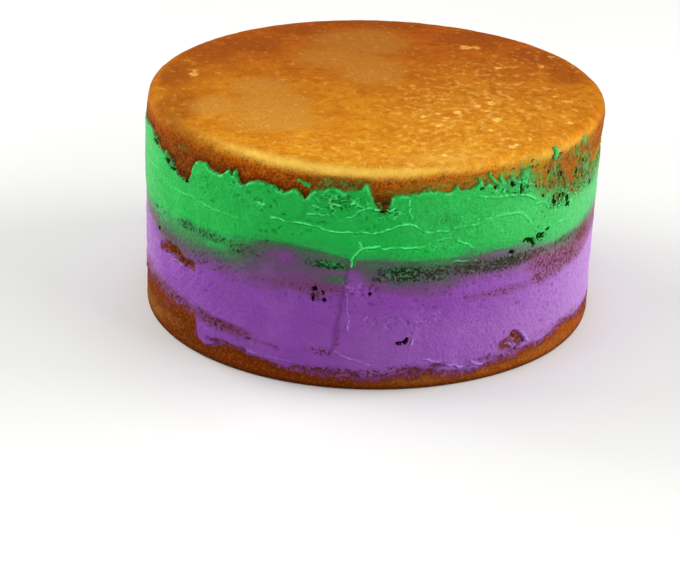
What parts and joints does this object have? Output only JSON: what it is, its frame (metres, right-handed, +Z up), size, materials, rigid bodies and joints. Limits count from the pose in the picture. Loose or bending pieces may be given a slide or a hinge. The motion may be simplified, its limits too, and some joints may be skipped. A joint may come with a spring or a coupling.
{
  "type": "king cake layer cake",
  "caption": "Round tall layer cake, half decorated: bare browned top and rim, a green icing band over a purple icing band round the side, both with torn uneven edges.",
  "frame": {"origin": "centre of the cake's footprint box, on the surface it stands on", "axes": "+Z up; the side that the picture shows faces -Y, and its right is +X"},
  "size_m": [0.2121, 0.2114, 0.1028],
  "materials": {
    "crust": "matte baked sponge crust, brown, with paler flecks",
    "purple_icing": "soft satin buttercream, scraped thin",
    "green_icing": "soft satin buttercream, scraped thin, with torn edges"
  },
  "bodies": {
    "root": {"cake": "crust", "purple_icing": "purple_icing", "green_icing": "green_icing"}
  },
  "joints": []
}
